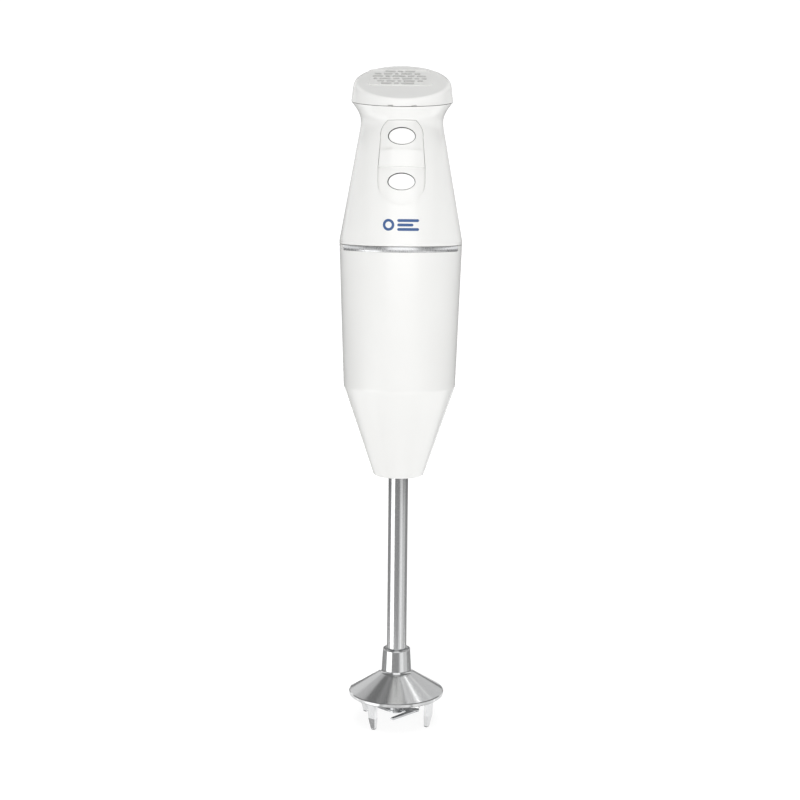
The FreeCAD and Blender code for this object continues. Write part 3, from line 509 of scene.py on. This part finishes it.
def button_springs(steel):
    """Springs under the two buttons, standing on the switch carrier."""
    panel = Matrix.Translation(PANEL_CENTRE) @ Matrix.Rotation(math.pi / 2 - PANEL_SLOPE, 4, "X")
    for which, up_panel in (("high", BUTTON_PITCH / 2), ("low", -BUTTON_PITCH / 2)):
        place = panel @ Matrix.Translation((0, up_panel, -SPRING_SEAT_DEPTH))
        wound_spring(f"spring_{which}", steel, BUTTON_SPRING, place)


def brush_springs(steel):
    """Springs behind the two carbon brushes, each standing on the outer end of its holder."""
    for side, sign in (("left", -1), ("right", 1)):
        foot = Matrix.Translation((sign * HOLDER_END, 0, BRUSH_HEIGHT))
        place = foot @ Matrix.Rotation(-sign * math.pi / 2, 4, "Y")
        wound_spring(f"brush_spring_{side}", steel, BRUSH_SPRING, place)


def add_details(materials):
    """The pieces that the CAD model doesn't have, and the wound springs that take the place of the
    CAD's.
    """
    printed_mark(pad_ink())
    # Darker grey plastic for the cap's dashes: painted shade in place of the shadows of the moulded
    # relief.
    dash_shade_material = moulded_plastic("dash_shade_plastic", (0.52, 0.52, 0.51), 0.5)
    cap_relief(materials["white_plastic"], dash_shade_material)
    # Dark rings in the two button gaps: painted shade standing in for the shadow inside the gaps.
    gap_shade_ring("gap_shade_ring_high", materials["black_rubber"], BUTTON_PITCH / 2)
    gap_shade_ring("gap_shade_ring_low", materials["black_rubber"], -BUTTON_PITCH / 2)
    button_springs(materials["spring_steel"])
    brush_springs(materials["spring_steel"])


# ---------------------------------------------------------------- studio
SURROUND = 0.22                 # strength of the grey world that gloss sees
DOME_RADIUS = 6.0
FLOOR_RADIUS = 5.5
FLOOR_GLOW = 0.085
MIDDLE = Vector((0, 0, 0.19))   # the point that the panels face


def glowing(name, color, strength):
    """Plain studio surface that only glows."""
    shader = Shader(name, (0, 0, 0), 0.9, Specular_IOR_Level=0.0)
    shader.main.inputs["Emission Color"].default_value = (*color, 1)
    shader.main.inputs["Emission Strength"].default_value = strength
    return shader.material


def floor_paper():
    """White paper that glows more with distance, so that the far floor meets the dome without a line."""
    shader = Shader("floor_paper", (0.25, 0.25, 0.25), 0.9, Specular_IOR_Level=0.0)
    shader.main.inputs["Emission Color"].default_value = (1, 1, 1, 1)
    away = shader.add("ShaderNodeVectorMath", operation="LENGTH")
    shader.link(shader.place(), away.inputs[0])
    glow = shader.spread(away.outputs["Value"], 0.88, 1.1, 0.1, 1.0)
    shader.link(glow, shader.main.inputs["Emission Strength"])
    return shader.material


def stage_mesh(name, build, material):
    """Studio piece from a bmesh builder, kept out of the object."""
    mesh = bpy.data.meshes.new(name)
    shape = bmesh.new()
    build(shape)
    shape.to_mesh(mesh)
    shape.free()
    mesh.materials.append(material)
    piece = bpy.data.objects.new(name, mesh)
    bpy.context.collection.objects.link(piece)
    return piece


def make_backdrop():
    """White dome that only shows as background, and a pale floor that takes the object's soft shadow."""
    dome = stage_mesh(
        "backdrop",
        lambda shape: bmesh.ops.create_icosphere(shape, subdivisions=4, radius=DOME_RADIUS),
        glowing("backdrop_white", (1, 1, 1), 1.1),
    )
    dome.visible_diffuse = False
    dome.visible_glossy = False
    dome.visible_shadow = False
    floor = stage_mesh(
        "floor",
        lambda shape: bmesh.ops.create_circle(shape, cap_ends=True, segments=96, radius=FLOOR_RADIUS),
        floor_paper(),
    )
    floor.visible_glossy = False
    floor.visible_shadow = False


def area_light(name, size, glow, seen_by):
    """Area light with a glow in scene units, not yet placed.

    A light seen only by "gloss" makes reflections without lighting the matt part of a surface. One seen
    only by "matt" does the opposite.
    """
    data = bpy.data.lights.new(name, "AREA")
    data.shape = "RECTANGLE"
    data.size, data.size_y = size
    data.energy = glow * math.pi * size[0] * size[1]
    light = bpy.data.objects.new(name, data)
    bpy.context.collection.objects.link(light)
    light.visible_glossy = seen_by != "matt"
    light.visible_diffuse = seen_by != "gloss"
    return light


def panel_light(name, azimuth, elevation, distance, size, glow, seen_by):
    """Panel that faces the object. Azimuth 0 is in front of it and positive is to the right in view."""
    around = math.radians(azimuth)
    above = math.radians(elevation)
    flat = distance * math.cos(above)
    light = area_light(name, size, glow, seen_by)
    light.location = MIDDLE
    light.location.x += flat * math.sin(around)
    light.location.y -= flat * math.cos(around)
    light.location.z += distance * math.sin(above)
    light.rotation_euler = (MIDDLE - light.location).to_track_quat("-Z", "Y").to_euler()


def wall_light(name, azimuth, distance, width, span, glow):
    """Upright panel for reflections only, from one height to another."""
    around = math.radians(azimuth)
    low, high = span
    light = area_light(name, (width, high - low), glow, "gloss")
    light.location = (distance * math.sin(around), -distance * math.cos(around), (low + high) / 2)
    light.rotation_euler = (math.pi / 2, 0, around)


def floor_glow(radius):
    """Light from the pale floor near the object, for reflections only."""
    light = area_light("floor_glow", (2 * radius, 2 * radius), FLOOR_GLOW, "gloss")
    light.data.shape = "ELLIPSE"
    light.rotation_euler = (math.pi, 0, 0)
    light.location = (0, 0, -0.002)


def make_lights():
    """Strips that draw the stripes on metal, broad panels that light the shell, and a grey surround."""
    low_wall = (-0.36, -0.05)
    high_wall = (0.17, 0.56)
    lowest_wall = (-0.9, -0.38)
    wall_light("tube_left", -61, 1.1, 0.92, low_wall, 1.9)
    wall_light("tube_right", 38, 1.2, 0.8, low_wall, 0.35)
    wall_light("tube_right_low", 62, 1.2, 1.5, (-0.36, -0.13), 0.45)
    wall_light("tube_behind_left", -168, 1.3, 0.3, low_wall, 1.5)
    wall_light("tube_behind_right", 164, 1.3, 0.5, low_wall, 0.6)
    wall_light("trim_front", 3, 1.2, 1.3, (0.05, 1.1), 1.1)
    wall_light("trim_left", -58, 1.2, 0.7, high_wall, 0.35)
    wall_light("trim_left_side", -108, 1.2, 1.6, high_wall, 0.75)
    wall_light("trim_right", 52, 1.2, 0.5, high_wall, 0.25)
    wall_light("trim_right_side", 102, 1.2, 1.7, high_wall, 0.85)
    for azimuth in (-140, -75, 0, 75, 140):
        wall_light(f"trim_low_{azimuth}", azimuth, 1.2, 1.6, lowest_wall, 0.75)
    panel_light("header", 0, 52, 1.6, (1.4, 0.9), 0.4, "gloss")
    panel_light("bell_left", -150, 27, 2.0, (1.0, 1.6), 0.40, "gloss")
    panel_light("bell_left_low", -157, 17, 2.1, (0.9, 1.0), 0.20, "gloss")
    panel_light("bell_grey", -130, 68, 2.0, (0.5, 0.3), 0.12, "gloss")
    panel_light("bell_right", 151, 23, 2.0, (1.0, 1.45), 0.48, "gloss")
    panel_light("bell_right_high", 126, 56, 2.0, (0.8, 1.15), 0.5, "gloss")
    panel_light("bell_line", 131, 59, 1.9, (0.9, 0.11), 1.6, "gloss")
    panel_light("bell_edge", 132, 73, 1.9, (0.3, 0.12), 0.8, "gloss")
    for radius in (0.62, 0.45, 0.33):
        floor_glow(radius)
    panel_light("front", 0, 14, 1.45, (1.5, 1.2), 1.15, "matt")
    panel_light("right", 50, 12, 1.4, (0.7, 1.6), 1.0, "matt")
    panel_light("left", -60, 12, 1.4, (0.5, 1.6), 1.05, "matt")
    panel_light("behind", 180, 16, 1.5, (0.7, 1.4), 1.3, "matt")
    panel_light("overhead", 0, 80, 1.4, (1.0, 1.0), 3.0, "matt")
    world = bpy.data.worlds.new("studio")
    bpy.context.scene.world = world
    world.use_nodes = True
    background = world.node_tree.nodes["Background"]
    background.inputs["Color"].default_value = (1, 1, 1, 1)
    background.inputs["Strength"].default_value = SURROUND
    bpy.context.scene.view_settings.view_transform = "Standard"


make_camera()
materials = make_materials()
dress_nodes(materials)
add_details(materials)
make_backdrop()
make_lights()
